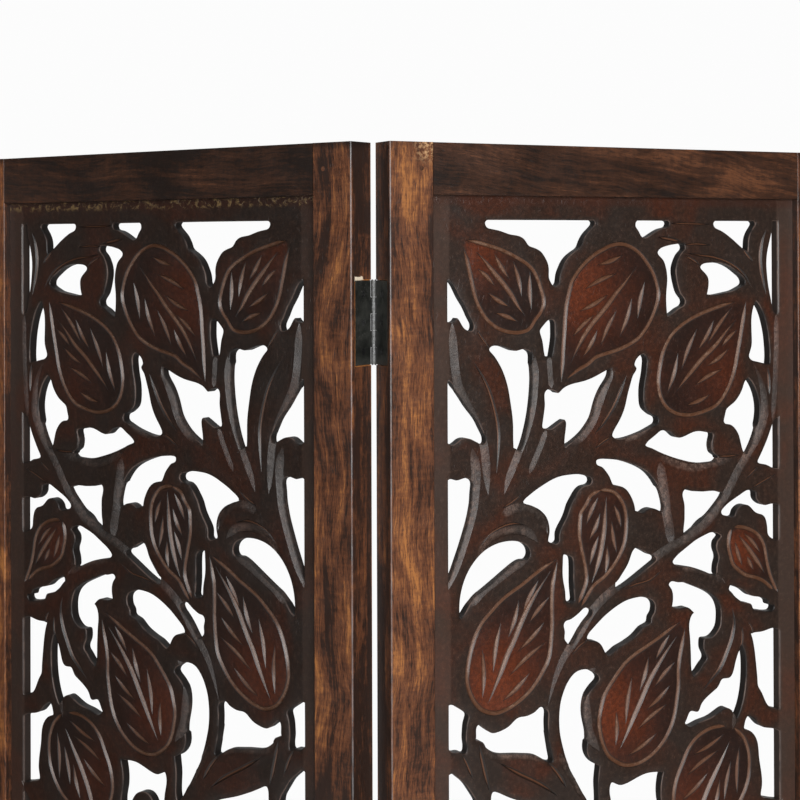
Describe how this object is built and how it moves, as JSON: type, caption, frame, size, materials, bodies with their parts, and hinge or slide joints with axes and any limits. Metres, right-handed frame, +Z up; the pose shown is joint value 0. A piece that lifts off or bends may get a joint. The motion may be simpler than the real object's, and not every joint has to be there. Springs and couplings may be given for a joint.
{
  "type": "folding screen",
  "caption": "Freestanding folding room divider of hinged wooden leaves with boards carved through in leaves and winding stems.",
  "frame": {"origin": "middle of the footprint's bounding box, on the floor", "axes": "+X along the screen to the viewer's right, +Y to the back, +Z up"},
  "size_m": [1.8118, 0.2876, 1.829],
  "materials": {
    "frame_wood": "stained brown, lacquered, worn at the arrises",
    "carved_board": "dark stain, glossy lacquer, carved lines worn pale",
    "hinge_black": "black lacquer",
    "screw_black": "black lacquer",
    "pin_steel": "dull",
    "brad_steel": "dull"
  },
  "bodies": {
    "leaf_1": {"leaf_1_left_stile": "frame_wood", "leaf_1_right_stile": "frame_wood", "leaf_1_bottom_rail": "frame_wood", "leaf_1_middle_rail": "frame_wood", "leaf_1_top_rail": "frame_wood", "leaf_1_lower_board": "carved_board", "leaf_1_upper_board": "carved_board", "leaf_1_brads": "brad_steel", "fold_1_left_plates": "hinge_black", "fold_1_left_screws": "screw_black"},
    "leaf_2": {"leaf_2_left_stile": "frame_wood", "leaf_2_right_stile": "frame_wood", "leaf_2_bottom_rail": "frame_wood", "leaf_2_middle_rail": "frame_wood", "leaf_2_top_rail": "frame_wood", "leaf_2_lower_board": "carved_board", "leaf_2_upper_board": "carved_board", "leaf_2_brads": "brad_steel", "fold_1_right_plates": "hinge_black", "fold_1_right_screws": "screw_black", "fold_1_pins": "pin_steel", "fold_2_left_plates": "hinge_black", "fold_2_left_screws": "screw_black"},
    "leaf_3": {"leaf_3_left_stile": "frame_wood", "leaf_3_right_stile": "frame_wood", "leaf_3_bottom_rail": "frame_wood", "leaf_3_middle_rail": "frame_wood", "leaf_3_top_rail": "frame_wood", "leaf_3_lower_board": "carved_board", "leaf_3_upper_board": "carved_board", "leaf_3_brads": "brad_steel", "fold_2_right_plates": "hinge_black", "fold_2_right_screws": "screw_black", "fold_2_pins": "pin_steel", "fold_3_left_plates": "hinge_black", "fold_3_left_screws": "screw_black"},
    "leaf_4": {"leaf_4_left_stile": "frame_wood", "leaf_4_right_stile": "frame_wood", "leaf_4_bottom_rail": "frame_wood", "leaf_4_middle_rail": "frame_wood", "leaf_4_top_rail": "frame_wood", "leaf_4_lower_board": "carved_board", "leaf_4_upper_board": "carved_board", "leaf_4_brads": "brad_steel", "fold_3_right_plates": "hinge_black", "fold_3_right_screws": "screw_black", "fold_3_pins": "pin_steel"}
  },
  "joints": [
    {"name": "fold_1", "type": "hinge", "parent": "leaf_2", "child": "leaf_1", "pos_m": [-0.4541, 0.11615, 0.9145], "axis": [0, 0, 1], "range_deg": [-62.28, 117.72]},
    {"name": "fold_2", "type": "hinge", "parent": "leaf_2", "child": "leaf_3", "pos_m": [0, -0.11615, 0.9145], "axis": [0, 0, 1], "range_deg": [-62.28, 117.72]},
    {"name": "fold_3", "type": "hinge", "parent": "leaf_3", "child": "leaf_4", "pos_m": [0.4541, 0.11615, 0.9145], "axis": [0, 0, 1], "range_deg": [-117.72, 62.28]}
  ]
}
